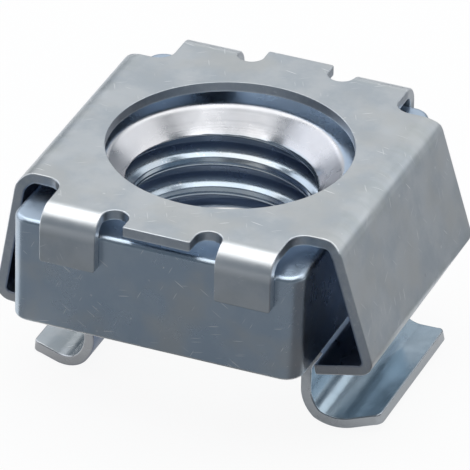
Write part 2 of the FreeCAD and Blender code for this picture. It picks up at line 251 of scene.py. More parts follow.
class Surface(Graph):
    """The tree of a plated finish, with what the mesh tells it about the point that is shaded.

    `place` is that point in millimetres: along, across and out of the flat strip, or in the
    row's frame. `x`, `y` and `z` are its parts, and `radius` is its distance from the Z axis.
    `cut` is 1 on a sheared edge and `bend` is 1 where the strip is bent.
    """

    def __init__(self, tree: bpy.types.NodeTree, follows_strip: bool) -> None:
        """Adds the nodes that read the mesh.

        Args:
            tree: the material's tree.
            follows_strip: whether the place is the one in the flat strip.
        """
        super().__init__(tree)
        if follows_strip:
            self.place = self._attribute(Field.PLACE, "Vector")
        else:
            source = self.add("ShaderNodeTexCoord").outputs["Object"]
            scaled = self.add("ShaderNodeVectorMath", {0: source, 3: 1 / MM}, operation="SCALE")
            self.place = scaled.outputs[0]
        self.cut, self.bend = self._attribute(Field.CUT, "Fac"), self._attribute(Field.BEND, "Fac")
        self.x, self.y, self.z = self.parts(self.place)
        flat = self.add("ShaderNodeVectorMath", {0: self.place, 1: (1.0, 1.0, 0.0)}, operation="MULTIPLY")
        length = self.add("ShaderNodeVectorMath", {0: flat.outputs[0]}, operation="LENGTH")
        self.radius = length.outputs["Value"]

    def _attribute(self, which: Field, output: str) -> Socket:
        """Reads one of the mesh's own numbers."""
        return self.add("ShaderNodeAttribute", attribute_name=which.value).outputs[output]

    def drawn(self, place: Socket, stretch: Sequence[float], shift: float, turn: float = 0.0,
              about: str = "Z_AXIS") -> Socket:
        """Turns, stretches and shifts the place at which a texture is looked up.

        Args:
            place: where it is looked up.
            stretch: how much closer the texture lies along each axis.
            shift: an offset that makes one texture differ from another.
            turn: a turn before the stretch, in degrees.
            about: the axis of that turn.

        Returns:
            The new place.
        """
        turned = self.add("ShaderNodeVectorRotate", {"Vector": place, "Angle": math.radians(turn)},
                          rotation_type=about)
        mapping = self.add("ShaderNodeMapping", {
            "Vector": turned.outputs[0], "Location": (shift, 0.7 * shift, -0.4 * shift),
            "Scale": tuple(stretch)})
        return mapping.outputs[0]

    def noise(self, scale: float, detail: float, roughness: float = 0.5, shift: float = 0.0,
              stretch: Sequence[float] = (1.0, 1.0, 1.0), place: Socket | None = None) -> Socket:
        """Adds smooth noise.

        Args:
            scale: waves to a millimetre, about.
            detail: octaves of finer noise.
            roughness: how strong those are.
            shift: an offset that makes one noise differ from another.
            stretch: how much closer the noise lies along each axis.
            place: where it is looked up, if not at the point itself.

        Returns:
            The noise, about 0.3 to 0.7.
        """
        node = self.add("ShaderNodeTexNoise", {
            "Vector": self.drawn(place or self.place, stretch, shift), "Scale": scale, "Detail": detail,
            "Roughness": roughness})
        return node.outputs[0]

    def patches(self, span: Sequence[float], *wave: float, **how: object) -> Socket:
        """Eases noise: `span` holds what `ease` takes after its value, the rest goes to `noise`."""
        return self.ease(self.noise(*wave, **how), *span)

    def marks(self, scale: float, size: float, share: float, shift: float,
              stretch: Sequence[float] = (1.0, 1.0, 1.0), turn: float = 0.0, about: str = "Z_AXIS",
              wander: float = 0.08) -> Socket:
        """Scatters separate marks, at most one to a cell.

        Args:
            scale: cells to a millimetre.
            size: a mark's radius, in cells.
            share: how many of the cells have one.
            shift: an offset that makes one scatter differ from another.
            stretch: how much closer the cells lie along each axis, which draws marks out to scratches.
            turn: a turn before the stretch, in degrees.
            about: the axis of that turn.
            wander: how far the marks' outlines wander, in cells.

        Returns:
            Up to 1 in a mark, 0 elsewhere.
        """
        rough = self.add("ShaderNodeTexNoise", {"Vector": self.place, "Scale": 2.0 * scale, "Detail": 0.0})
        bent = self.add("ShaderNodeVectorMath", {
            0: rough.outputs[1], 1: (wander / scale,) * 3, 2: self.place}, operation="MULTIPLY_ADD")
        cells = self.add("ShaderNodeTexVoronoi", {
            "Vector": self.drawn(bent.outputs[0], stretch, shift, turn, about), "Scale": scale})
        chance = self.add("ShaderNodeSeparateColor", {0: cells.outputs["Color"]}).outputs
        chosen = self.math("LESS_THAN", chance[0], share)
        depth = self.over(cells.outputs["Distance"], self.times_plus(chance[1], 0.7 * size, 0.3 * size))
        strength = self.times_plus(chance[2], 0.7, 0.3)
        return self.times(self.times(chosen, strength), self.ease(depth, 1.0, 0.6))


@dataclass(frozen=True)
class ZincPlate:
    """Zinc plated steel: satin metal with cloudy patches, fine grain, specks and scratches."""

    name: str
    bright: Colour
    cool: Colour
    roughness: float
    grain: float
    swell: float
    scratches: float
    follows_strip: bool
    cut: Colour = (0.52, 0.555, 0.60)
    turned: float = 2.5
    bore: tuple[float, float] = (3.4, 1.25)

    def material(self) -> bpy.types.Material:
        """Builds the finish.

        Returns:
            The material.
        """
        made = blank_material(self.name)
        on = Surface(made.node_tree, self.follows_strip)
        scratches = self._scratches(on)
        shader = on.add("ShaderNodeBsdfPrincipled", {
            "Base Color": self._colour(on, scratches), "Metallic": 1.0,
            "Roughness": self._gloss(on), "Normal": self._relief(on, scratches)})
        on.add("ShaderNodeOutputMaterial", {"Surface": shader.outputs[0]})
        made.diffuse_color = (*self.bright, 1.0)
        return made

    def _colour(self, on: Surface, scratches: Socket) -> Socket:
        """Mixes the plating's colour.

        Args:
            on: the material's tree.
            scratches: 1 in a scratch.

        Returns:
            The base colour.
        """
        clouds = on.patches((0.38, 0.64), 0.55, 4.0, 0.6)
        colour = on.blend(clouds, (*self.bright, 1.0), (*self.cool, 1.0))
        warm = on.patches((0.45, 0.68, 0.0, 0.6), 0.35, 3.0, 0.55, shift=17.0)
        colour = on.blend(warm, colour, Tint.WARM)
        stretched = on.patches((0.4, 0.62, 0.0, 0.35), 1.4, 3.0, 0.6, shift=5.0, stretch=(0.3, 1.0, 1.0))
        colour = on.blend(on.times(on.bend, stretched), colour, Tint.STRETCHED)
        dark = on.marks(1.1, 0.12, 0.10, shift=31.0)
        colour = on.blend(on.times(dark, 0.4), colour, Tint.SPECK)
        light = on.most(on.marks(1.5, 0.13, 0.55, shift=87.0), scratches)
        colour = on.blend(on.times(light, 0.85), colour, Tint.SCRATCH)
        edge = on.patches((0.35, 0.62, 0.35, 0.9), 6.0, 3.0, 0.7, shift=3.0)
        colour = on.blend(on.times(on.cut, edge), colour, (*self.cut, 1.0))
        return self._strip_tints(on, colour) if self.follows_strip else self._block_tints(on, colour)

    def _block_tints(self, on: Surface, colour: Socket) -> Socket:
        """Paints shade into the thread's groove and a blue reflection onto the block's top, pales the cone
        and paints a highlight with wear along the lower edge.

        Args:
            on: the material's tree.
            colour: the plating's colour so far.

        Returns:
            The tinted colour.
        """
        # Painted shade: the thread's groove darkens towards its root.
        colour = on.blend(self._groove_shade(on), colour, Tint.GROOVE_SHADE)
        # Painted reflection and shade: the block's top, seen only under the plate, is tinted a shaded blue.
        colour = on.blend(on.ease(on.z, 2.06, 2.09, 0.0, 0.8), colour, Tint.BLOCK_TOP_REFLECTION)
        cone = on.times(on.ease(on.z, 1.2, 1.35), on.ease(on.radius, 4.35, 4.25, 0.0, 0.8))
        colour = on.blend(cone, colour, Tint.CONE)
        # Painted highlight with wear: the foot's round is paled into a light line that stands for the white
        # floor it mirrors.
        wear_and_highlight = on.times(on.ease(on.z, -1.98, -2.02), on.ease(on.z, -2.099, -2.09))
        wear_and_highlight = on.times(wear_and_highlight, on.patches((0.36, 0.52, 0.3, 1.0), 1.6, 3.0, 0.6, shift=19.0))
        return on.blend(wear_and_highlight, colour, Tint.WORN_AND_HIGHLIGHT)

    def _strip_tints(self, on: Surface, colour: Socket) -> Socket:
        """Brightens the tabs' bends with burnish and painted highlight, paints shade on the strip's inner
        face, paints reflection on the right lip and tints the lips' cut edges.

        Args:
            on: the material's tree.
            colour: the plating's colour so far.

        Returns:
            The tinted colour.
        """
        reach, across = on.size(on.x), on.size(on.y)
        # Burnish and painted highlight: the tab bends are paled so that they keep a white highlight band.
        rubbed_highlight = on.times(on.ease(across, 6.1, 6.45), on.ease(across, 7.35, 7.0))
        rubbed_highlight = on.times(rubbed_highlight, on.ease(reach, 1.8, 2.2, 0.0, 0.85))
        colour = on.blend(rubbed_highlight, colour, Tint.RUBBED_HIGHLIGHT)
        # Painted shade: the strip's inner face is tinted pale blue under the plate and dark navy inside the
        # flanks.
        inner = on.blend(on.ease(reach, 5.5, 6.2), Tint.UNDER_PLATE_SHADE, Tint.IN_FLANK_SHADE)
        colour = on.blend(on.ease(on.z, -0.1, -0.19, 0.0, 0.85), colour, inner)
        # Painted reflection: only the right lip is tinted dark blue, for the dark underside it mirrors.
        colour = on.blend(on.ease(on.x, 12.2, 14.0, 0.0, 0.75), colour, Tint.RIGHT_LIP_REFLECTION)
        return on.blend(on.times(on.cut, on.ease(reach, 10.0, 11.5, 0.0, 0.75)), colour, Tint.LIP_EDGE)

    def _groove_shade(self, on: Surface) -> Socket:
        """Tells how deep a point lies in the thread's groove, where painted shade darkens it.

        Args:
            on: the material's tree.

        Returns:
            0 outside the groove to 1 at its root.
        """
        crest, sink = self.bore
        cone = on.most(on.minus(on.z, sink), 0.0)
        depth = on.minus(on.minus(on.radius, crest), cone)
        return on.times(on.ease(depth, 0.10, 0.5, 0.0, 0.8), on.ease(on.radius, crest + 0.8, crest + 0.7))

    def _gloss(self, on: Surface) -> Socket:
        """Varies the roughness: the bore and the lips are smoother, bends and cut edges rougher.

        Args:
            on: the material's tree.

        Returns:
            The roughness.
        """
        wide = on.patches((0.35, 0.66, -0.03, 0.04), 0.8, 2.0, shift=9.0)
        fine = on.patches((0.35, 0.66, -0.012, 0.015), 3.5, 0.0, shift=13.0)
        value = on.plus(on.plus(wide, fine), self.roughness)
        if not self.follows_strip:
            return on.plus(value, on.ease(on.radius, 3.75, 3.45, 0.0, -0.12))
        value = on.times_plus(on.bend, 0.05, value)
        value = on.plus(value, on.ease(on.size(on.x), 11.0, 12.5, 0.0, -0.17))
        return on.times_plus(on.cut, 0.04, value)

    def _scratches(self, on: Surface) -> Socket:
        """Draws short straight scratches that run three ways.

        Args:
            on: the material's tree.

        Returns:
            1 in a scratch.
        """
        about, found = "Z_AXIS" if self.follows_strip else "Y_AXIS", 0.0
        for turn, shift in ((12.0, 52.0), (-34.0, 58.0), (64.0, 66.0)):
            found = on.most(found, on.marks(1.2, 0.38, 0.07, shift, (1.0, 12.0, 12.0), turn, about, 0.012))
        return found

    def _relief(self, on: Surface, scratches: Socket) -> Socket:
        """Raises the grain, the scratches, the hole's turned rings and the torn sheared edges.

        Args:
            on: the material's tree.
            scratches: 1 in a scratch.

        Returns:
            The normal.
        """
        height = on.times(on.noise(6.0, 2.0, shift=23.0), self.grain)
        height = on.times_plus(on.noise(0.7, 2.0, shift=41.0), self.swell, height)
        height = on.times_plus(scratches, -self.scratches, height)
        if not self.follows_strip:
            spot = on.add("ShaderNodeCombineXYZ", {0: on.radius, 2: on.z}).outputs[0]
            rings = on.noise(7.0, 1.0, shift=77.0, place=spot)
            height = on.plus(height, on.times(rings, on.ease(on.radius, 4.5, 4.3, 0.0, self.turned)))
        torn = on.noise(3.0, 2.0, shift=71.0, stretch=(1.6, 1.6, 0.6))
        height = on.plus(height, on.times(on.cut, on.times(torn, 2.5)))
        bump = on.add("ShaderNodeBump", {"Strength": 1.0, "Distance": 0.001 * MM, "Height": height})
        return bump.outputs[0]


@dataclass(frozen=True)
class PaleFloor:
    """A pale floor that stays white round the object and keeps its shadow."""

    name: str = "pale_floor"
    colour: Colour = (0.94, 0.94, 0.94)
    seen_white: float = 0.92
    mirrored_white: float = 0.22

    def material(self) -> bpy.types.Material:
        """Builds the floor's material.

        Returns:
            The material.
        """
        made = blank_material(self.name)
        graph = Graph(made.node_tree)
        path = graph.add("ShaderNodeLightPath").outputs
        mirrored = graph.most(path["Is Glossy Ray"], path["Is Transmission Ray"])
        share = graph.most(graph.times(path["Is Camera Ray"], self.seen_white),
                           graph.times(mirrored, self.mirrored_white))
        matt = graph.add("ShaderNodeBsdfDiffuse", {"Color": (*self.colour, 1.0)})
        white = graph.add("ShaderNodeEmission", {"Color": (1.0, 1.0, 1.0, 1.0), "Strength": 1.0})
        mixed = graph.add("ShaderNodeMixShader", {0: share, 1: matt.outputs[0], 2: white.outputs[0]})
        graph.add("ShaderNodeOutputMaterial", {"Surface": mixed.outputs[0]})
        return made


@dataclass(frozen=True)
class Stretch:
    """One straight or evenly curved stretch of the strip's middle line, seen from the front."""

    start: float
    x: float
    z: float
    heading: float
    length: float
    curve: float

    def at(self, along: np.ndarray) -> tuple[np.ndarray, np.ndarray, np.ndarray]:
        """Places points of the stretch.

        Args:
            along: distances along the whole line.

        Returns:
            X, Z and the heading there.
        """
        run = along - self.start
        heading = self.heading + self.curve * run
        if not self.curve:
            return (self.x + run * math.cos(self.heading), self.z + run * math.sin(self.heading), heading)
        return (self.x + (np.sin(heading) - math.sin(self.heading)) / self.curve,
                self.z - (np.cos(heading) - math.cos(self.heading)) / self.curve, heading)


@dataclass
class FoldLine:
    """The strip's middle line from the plate's middle out to one lip's tip."""

    splay: float
    thickness: float
    plate_level: float
    shoulder: float = 6.0
    seat: tuple[float, float] = (5.55, -2.38)
    corner_angle: float = 85.6
    leg_turn: float = 77.2
    curl_turn: float = 102.8
    inside_bends: tuple[float, ...] = (0.4, 0.15, 0.65, 1.12)
    runs: tuple[float, ...] = (1.78, 0.72, 1.06)
    longest_step: float = 0.2
    widest_turn: float = 6.0
    stretches: list[Stretch] = field(init=False)

    def __post_init__(self) -> None:
        """Works the stretches out from the bends."""
        flank = self.splay - 90
        fold = self.splay - 270 + self.corner_angle
        headings = [0.0] + [math.radians(angle) for angle in (
            flank, fold, fold + self.leg_turn, fold + self.leg_turn + self.curl_turn)]
        turns = [math.remainder(after - before, math.tau) for before, after in zip(headings, headings[1:])]
        radii = [bend + self.thickness / 2 for bend in self.inside_bends]
        trims = [radius * math.tan(abs(turn) / 2) for radius, turn in zip(radii, turns)]
        corner = self._corner(headings[1], headings[2])
        flank_run = math.dist((self.shoulder, self.plate_level), corner) - trims[0] - trims[1]
        lengths = [self.shoulder - trims[0], flank_run, *self.runs]
        self.stretches = []
        along, x, z = 0.0, 0.0, self.plate_level
        for heading, length, turn, radius in zip(headings, lengths, turns + [0.0], radii + [1.0]):
            parts = [(length, 0.0)]
            if turn:
                parts.append((radius * abs(turn), math.copysign(1 / radius, turn)))
            for run, curve in parts:
                stretch = Stretch(along, x, z, heading, run, curve)
                self.stretches.append(stretch)
                along += run
                end_x, end_z, end_heading = stretch.at(np.array([along]))
                x, z, heading = float(end_x[0]), float(end_z[0]), float(end_heading[0])

    def _corner(self, flank: float, fold: float) -> tuple[float, float]:
        """Finds where the lines of flank and fold cross.

        Args:
            flank: the flank's heading in radians.
            fold: the fold's heading in radians.

        Returns:
            X and Z of the corner.
        """
        (x0, z0), (x1, z1) = (self.shoulder, self.plate_level), self.seat
        ux, uz, wx, wz = math.cos(flank), math.sin(flank), math.cos(fold), math.sin(fold)
        run = ((x1 - x0) * wz - (z1 - z0) * wx) / (ux * wz - uz * wx)
        return x0 + run * ux, z0 + run * uz

    @property
    def length(self) -> float:
        """The whole line's length."""
        return self.end_of(Run.LIP)

    def end_of(self, run: Run) -> float:
        """Distance along the line to the end of one stretch."""
        return self.stretches[run].start + self.stretches[run].length

    def at(self, along: np.ndarray) -> tuple[np.ndarray, np.ndarray, np.ndarray]:
        """Places points of the line.

        Args:
            along: distances from the plate's middle.

        Returns:
            X, Z and the heading, before the left side is mirrored.
        """
        x, z, heading = (np.zeros_like(along) for _ in range(3))
        for stretch in self.stretches:
            inside = along >= stretch.start - 1e-9
            x[inside], z[inside], heading[inside] = stretch.at(along[inside])
        return x, z, heading

    def bent(self, along: np.ndarray) -> np.ndarray:
        """Tells how much the strip is bent at points of the line.

        Args:
            along: distances from the plate's middle.

        Returns:
            1 inside a bend, easing to 0 on either side.
        """
        value = np.zeros_like(along)
        for stretch in self.stretches:
            if stretch.curve:
                off = np.maximum(stretch.start - along, along - stretch.start - stretch.length)
                value = np.maximum(value, np.clip(1 - off / BEND_EASE, 0, 1))
        return value

    def reach(self, x: float, first: Run) -> float:
        """Finds the distance along the line at which it reaches an X.

        Args:
            x: the X, before the left side is mirrored.
            first: the stretch from which it is looked for.

        Returns:
            The distance.
        """
        along = np.linspace(self.stretches[first].start, self.length, 2000)
        xs = self.at(along)[0]
        rising = np.argmin(xs)
        return float(np.interp(x, xs[rising:], along[rising:]))

    def columns(self) -> np.ndarray:
        """Chooses where the mesh has its rows of points across the strip.

        Returns:
            Distances along the line, closer in the bends.
        """
        marks = [0.0]
        for stretch in self.stretches:
            turn = abs(stretch.curve) * stretch.length
            count = max(math.ceil(turn / math.radians(self.widest_turn)),
                        math.ceil(stretch.length / self.longest_step))
            marks.extend(stretch.start + stretch.length * i / count for i in range(1, count + 1))
        return np.array(marks)


class Path:
    """A line in the flat strip, drawn with straight runs and arcs."""

    STEP = 0.1
    WIDEST_TURN = 12.0
    CLEAR = 0.02

    def __init__(self, start: tuple[float, float]) -> None:
        """Starts the line at its first point."""
        self.points: list[tuple[float, float]] = [start]

    def to(self, x: float, y: float, stops: np.ndarray | None = None) -> "Path":
        """Runs straight to a point.

        Args:
            x: along the strip.
            y: across the strip.
            stops: distances along the strip where the run has points, instead of even steps.

        Returns:
            The path.
        """
        x0, y0 = self.points[-1]
        if stops is not None:
            low, high = min(x0, x) + self.CLEAR, max(x0, x) - self.CLEAR
            inner = sorted((s for s in stops if low < s < high), reverse=x < x0)
            self.points += [(float(s), y0 + (y - y0) * (s - x0) / (x - x0)) for s in inner] + [(x, y)]
            return self
        count = max(1, math.ceil(math.hypot(x - x0, y - y0) / self.STEP))
        self.points += [(x0 + (x - x0) * i / count, y0 + (y - y0) * i / count) for i in range(1, count + 1)]
        return self

    def arc(self, centre: tuple[float, float], turn: float) -> "Path":
        """Runs round a centre.

        Args:
            centre: the arc's centre.
            turn: the turn in degrees, positive anticlockwise.

        Returns:
            The path.
        """
        x0, y0 = self.points[-1]
        radius = math.hypot(x0 - centre[0], y0 - centre[1])
        start = math.atan2(y0 - centre[1], x0 - centre[0])
        sweep = math.radians(turn)
        count = max(3, math.ceil(abs(sweep) / math.radians(self.WIDEST_TURN)),
                    math.ceil(radius * abs(sweep) / self.STEP))
        self.points += [(centre[0] + radius * math.cos(start + sweep * i / count),
                         centre[1] + radius * math.sin(start + sweep * i / count))
                        for i in range(1, count + 1)]
        return self


@dataclass
class FoldedCage:
    """The cage: one strip of spring steel with its hole, tongues, tabs, flanks, folds and lips."""

    thickness: float = 0.4
    offset: float = 0.2
    splays: tuple[float, float] = (17.2, 9.2)
    plate_level: float = 2.7
    hole_radius: float = 4.5
    tongue_edge: float = 6.9
    tongue_half: float = 1.29
    slot_centre: float = 6.375
    tab_near: float = 2.28
    tab_far: float = 4.41
    tab_bend_start: float = 6.23
    tab_bend_radius: float = 0.6
    tab_fall: float = 1.3
    relief_radius: float = 0.65
    relief_floor: float = 4.765
    relief_far: float = 5.55
    flank_half: float = 4.985
    lip_half: float = 3.93
    neck_round: float = 0.3
    neck_gap: float = 0.03
    tip_half: float = 3.2
    taper_run: float = 2.2
    tip_round: float = 0.3
    corner_round: float = 0.1
    rolled_edge: float = 0.06
    hole_edge: float = 0.025
    torn_edge: float = 0.03
    grid_gap: float = 0.07
    row_step: float = 0.2
    bend_rows: int = 16
    fall_rows: int = 8
    hole_points: int = 360
    lines: dict[Side, FoldLine] = field(init=False)

    def __post_init__(self) -> None:
        """Folds the strip's middle line on both sides."""
        self.lines = {side: FoldLine(splay, self.thickness, self.plate_level)
                      for side, splay in zip(Side, self.splays)}

    @property
    def tab_end(self) -> float:
        """Where a tab ends in the flat strip."""
        return self.tab_bend_start + self.tab_bend_radius * math.pi / 2 + self.tab_fall

    @property
    def slot_middle(self) -> float:
        """Where the slots beside a tongue lie along the strip."""
        return (self.tongue_half + self.tab_near) / 2

    def quarter(self, line: FoldLine) -> list[tuple[float, float]]:
        """Draws a quarter of the flat strip's outline, from a tongue's middle to a lip's tip.

        Args:
            line: the fold line on that side.

        Returns:
            Points along and across the strip, both positive.
        """
        small = self.corner_round
        floor = self.relief_floor + self.relief_radius
        slot = (self.slot_middle, self.slot_centre)
        bend = line.stretches[Run.SHOULDER]
        web = math.sqrt(self.relief_radius ** 2 - (floor - self.flank_half) ** 2)
        crossing = bend.start + math.asin(
            (self.relief_far + web - bend.x) * bend.curve * -1) / abs(bend.curve)
        fold_end = line.end_of(Run.FOLD) - self.neck_gap
        tip_x = float(line.at(np.array([line.length]))[0][0])
        taper = line.reach(tip_x - self.taper_run, Run.LEG)
        end = line.length
        stops = line.columns()
        path = Path((0.0, self.tongue_edge))
        path.to(self.tongue_half - small, self.tongue_edge)
        path.arc((self.tongue_half - small, self.tongue_edge - small), -90)
        path.to(self.tongue_half, self.slot_centre).arc(slot, 180)
        path.to(self.tab_near, self.tab_end - small).arc((self.tab_near + small, self.tab_end - small), -90)
        path.to(self.tab_far - small, self.tab_end).arc((self.tab_far - small, self.tab_end - small), -90)
        path.to(self.tab_far, floor).arc((self.tab_far + self.relief_radius, floor), 90)
        path.to(self.relief_far, self.relief_floor)
        opening = math.degrees(math.atan2(web, floor - self.flank_half))
        path.arc((self.relief_far, floor), opening)
        path.points = [(x if x < bend.start else bend.start + math.asin(
            min(1.0, (x - bend.x) * abs(bend.curve))) / abs(bend.curve), y) for x, y in path.points]
        path.points[-1] = (crossing, self.flank_half)
        path.to(fold_end - small, self.flank_half, stops)
        path.arc((fold_end - small, self.flank_half - small), -90)
        path.to(fold_end, self.lip_half + self.neck_round)
        path.arc((fold_end + self.neck_round, self.lip_half + self.neck_round), 90)
        path.to(taper, self.lip_half, stops)
        narrow = self.tip_half + (self.lip_half - self.tip_half) * self.tip_round / (end - taper)
        path.to(end - self.tip_round, narrow, stops)
        path.arc((end - self.tip_round, narrow - self.tip_round), -90).to(end, 0.0)
        return path.points

    def outline(self) -> np.ndarray:
        """Joins the four quarters.

        Returns:
            The closed outline, anticlockwise, along and across the strip.
        """
        right, left = (self.quarter(self.lines[side]) for side in Side)
        loop = [(x, y) for x, y in reversed(right)] + [(-x, y) for x, y in left[1:]]
        loop += [(-x, -y) for x, y in reversed(left[:-1])] + [(x, -y) for x, y in right[1:-1]]
        return np.array(loop)

    def place(self, along: np.ndarray, across: np.ndarray, out: np.ndarray) -> np.ndarray:
        """Folds points of the flat strip into space.

        Args:
            along: distances along the strip from the plate's middle, negative on the left.
            across: distances across the strip.
            out: distances out of the strip's middle surface.

        Returns:
            Points in the row's frame, in millimetres.
        """
        result = np.zeros((len(along), 3))
        for side, line in self.lines.items():
            mine = along >= 0 if side is Side.RIGHT else along < 0
            x, z, heading = line.at(np.abs(along[mine]))
            result[mine, 0] = side.value * (x - out[mine] * np.sin(heading))
            result[mine, 1] = across[mine]
            result[mine, 2] = z + out[mine] * np.cos(heading)
        tab = (np.abs(across) > self.tab_bend_start) & (np.abs(along) > self.slot_middle)
        run = np.abs(across[tab]) - self.tab_bend_start
        radius = self.tab_bend_radius
        angle = np.minimum(run / radius, math.pi / 2)
        fall = np.maximum(run - radius * math.pi / 2, 0)
        reach = self.tab_bend_start + (radius + out[tab]) * np.sin(angle)
        result[tab, 1] = np.sign(across[tab]) * reach
        result[tab, 2] = self.plate_level - radius + (radius + out[tab]) * np.cos(angle) - fall
        result[:, 0] += self.offset
        return result

    def _grid(self, loops: list[np.ndarray]) -> np.ndarray:
        """Scatters points in rows and columns over the flat strip.

        Args:
            loops: the outline and the hole.

        Returns:
            The points that lie well inside.
        """
        right, left = (self.lines[side].columns() for side in Side)
        columns = np.concatenate([-left[::-1], right[1:]])
        step, last = self.row_step, self.bend_rows - 1
        flat = np.arange(step / 2, self.tab_bend_start - step / 4, step)
        bend = self.tab_bend_start + self.tab_bend_radius * math.pi / 2 * np.arange(last + 1) / last
        fall = np.linspace(bend[-1], self.tab_end, self.fall_rows)[1:-1]
        rows = np.concatenate([flat, bend, fall])
        rows = np.concatenate([-rows[::-1], rows])
        points = np.array([(x, y) for x in columns for y in rows])
        clear = np.full(len(points), np.inf)
        for ax, ay in np.concatenate(loops):
            clear = np.minimum(clear, (points[:, 0] - ax) ** 2 + (points[:, 1] - ay) ** 2)
        outline, hole = loops
        return points[(inside(points, outline) ^ inside(points, hole)) & (clear > self.grid_gap ** 2)]

    def _profile(self, rolled: float) -> list[tuple[float, float, float]]:
        """Shapes the sheared edge from the face that the punch rolled over to the torn one.

        Args:
            rolled: the radius of the rolled side.

        Returns:
            How far out, how high, and the normal's tilt from the strip's normal, in turn.
        """
        torn, half = min(rolled, self.torn_edge), self.thickness / 2
        steps = [(rolled * math.sin(a), half - rolled * (1 - math.cos(a)), a)
                 for a in np.radians([22.5, 45, 67.5, 90])]
        steps += [(rolled, half * (1 - 2 * share), math.pi / 2) for share in (0.5, 0.75)]
        steps += [(rolled - torn * (1 - math.cos(a)), torn * (1 - math.sin(a)) - half, math.pi / 2 + a)
                  for a in np.radians([0, 30, 60, 90])]
        return steps

    def mesh(self) -> bpy.types.Mesh:
        """Builds the folded strip as one closed mesh.

        Returns:
            The mesh, in metres, in the row's frame.
        """
        outline = self.outline()
        angle = -np.linspace(0, math.tau, self.hole_points + 1)[:-1]
        hole = self.hole_radius * np.stack([np.cos(angle), np.sin(angle)], 1)
        loops, normals = [], []
        rolls = (self.rolled_edge, self.hole_edge)
        for loop, rolled in zip((outline, hole), rolls):
            first = unit(loop - np.roll(loop, 1, axis=0))
            tangent = unit(first + unit(np.roll(loop, -1, axis=0) - loop))
            normal = np.stack([tangent[:, 1], -tangent[:, 0]], 1)
            mitre = 1 / np.maximum(0.7, np.abs((first * tangent).sum(1)))
            normals.append(normal)
            loops.append(loop - normal * (rolled * mitre)[:, None])
        flat = np.concatenate([*loops, self._grid(loops)])
        spans = [np.arange(len(outline)), np.arange(len(outline), len(outline) + len(hole))]
        faces = self._triangles(flat, spans)
        half = self.thickness / 2
        total = len(flat)
        pieces = [(flat, np.full(total, half), np.zeros((total, 2)), np.zeros(total)),
                  (flat, np.full(total, -half), np.zeros((total, 2)), np.full(total, math.pi))]
        polygons = [tuple(f) for f in faces] + [tuple(total + i for i in reversed(f)) for f in faces]
        start = 2 * total
        for loop, normal, span, rolled in zip(loops, normals, spans, rolls):
            size = len(loop)
            profile = self._profile(rolled)
            for out, level, tilt in profile:
                pieces.append((loop + normal * out, np.full(size, level), normal, np.full(size, tilt)))
            rings = [span] + [start + size * i + np.arange(size) for i in range(len(profile) - 1)]
            rings.append(total + span)
            pieces.pop()
            start += size * (len(profile) - 1)
            for upper, lower in zip(rings, rings[1:]):
                quads = np.stack([upper, lower, np.roll(lower, -1), np.roll(upper, -1)], 1)
                polygons += [tuple(quad) for quad in quads.tolist()]
        spots, levels, outwards, tilts = (np.concatenate(part) for part in zip(*pieces))
        return self._shape(spots, levels, outwards, tilts, polygons)

    def _triangles(self, flat: np.ndarray, spans: list[np.ndarray]) -> list[tuple[int, ...]]:
        """Joins the flat strip's points into triangles.

        Args:
            flat: all points.
            spans: which of them make the outline and the hole.

        Returns:
            Triangles, anticlockwise.
        """
        edges = [(int(a), int(b)) for span in spans for a, b in zip(span, np.roll(span, -1))]
        found = delaunay_2d_cdt([Vector(p) for p in flat], edges, [], 0, 1e-6, True)
        corners = np.array([[found[3][i][0] for i in face] for face in found[2]])
        points = flat[corners]
        middles = points.mean(axis=1)
        kept = inside(middles, flat[spans[0]]) & ~inside(middles, flat[spans[1]])
        edge, other = points[:, 1] - points[:, 0], points[:, 2] - points[:, 0]
        turned = edge[:, 0] * other[:, 1] - edge[:, 1] * other[:, 0] < 0
        corners[turned] = corners[turned, ::-1]
        return [tuple(face) for face in corners[kept].tolist()]

    def _shape(self, spots: np.ndarray, levels: np.ndarray, outwards: np.ndarray, tilts: np.ndarray,
               polygons: list[tuple[int, ...]]) -> bpy.types.Mesh:
        """Folds the flat points and makes the mesh with its normals and numbers.

        Args:
            spots: points along and across the strip.
            levels: their heights out of its middle surface.
            outwards: at an edge, the direction out of the strip in its own plane.
            tilts: the normal's tilt from the strip's normal towards that direction.
            polygons: the faces.

        Returns:
            The mesh.
        """
        nudge, zero = 1e-4, np.zeros(len(spots))
        x, y = spots.T
        along = unit(self.place(x + nudge, y, zero) - self.place(x - nudge, y, zero))
        across = unit(self.place(x, y + nudge, zero) - self.place(x, y - nudge, zero))
        up = np.cross(along, across)
        side = along * outwards[:, :1] + across * outwards[:, 1:]
        normal = up * np.cos(tilts)[:, None] + side * np.sin(tilts)[:, None]
        points = self.place(x, y, levels)
        mesh = bpy.data.meshes.new("folded_cage")
        mesh.from_pydata((points * MM).tolist(), [], polygons)
        mesh.polygons.foreach_set("use_smooth", [True] * len(mesh.polygons))
        for which, kind, key, values in (
                (Field.PLACE, "FLOAT_VECTOR", "vector", np.column_stack([spots, levels])),
                (Field.CUT, "FLOAT", "value", np.sin(tilts)),
                (Field.BEND, "FLOAT", "value", self._bent(x, y))):
            made = mesh.attributes.new(which.value, kind, "POINT")
            made.data.foreach_set(key, values.astype(np.float32).ravel())
        mesh.update()
        mesh.normals_split_custom_set_from_vertices(normal.tolist())
        return mesh

    def _bent(self, along: np.ndarray, across: np.ndarray) -> np.ndarray:
        """Tells how much the strip is bent at each point.

        Args:
            along: distances along the strip, negative on the left.
            across: distances across it.

        Returns:
            1 inside a bend, easing to 0 on either side.
        """
        value = np.zeros(len(along))
        for side, line in self.lines.items():
            mine = along >= 0 if side is Side.RIGHT else along < 0
            value[mine] = line.bent(np.abs(along[mine]))
        run = np.abs(across) - self.tab_bend_start
        off = np.maximum(-run, run - self.tab_bend_radius * math.pi / 2)
        tab = np.clip(1 - off / BEND_EASE, 0, 1) * (np.abs(along) > self.slot_middle)
        return np.maximum(value, tab)

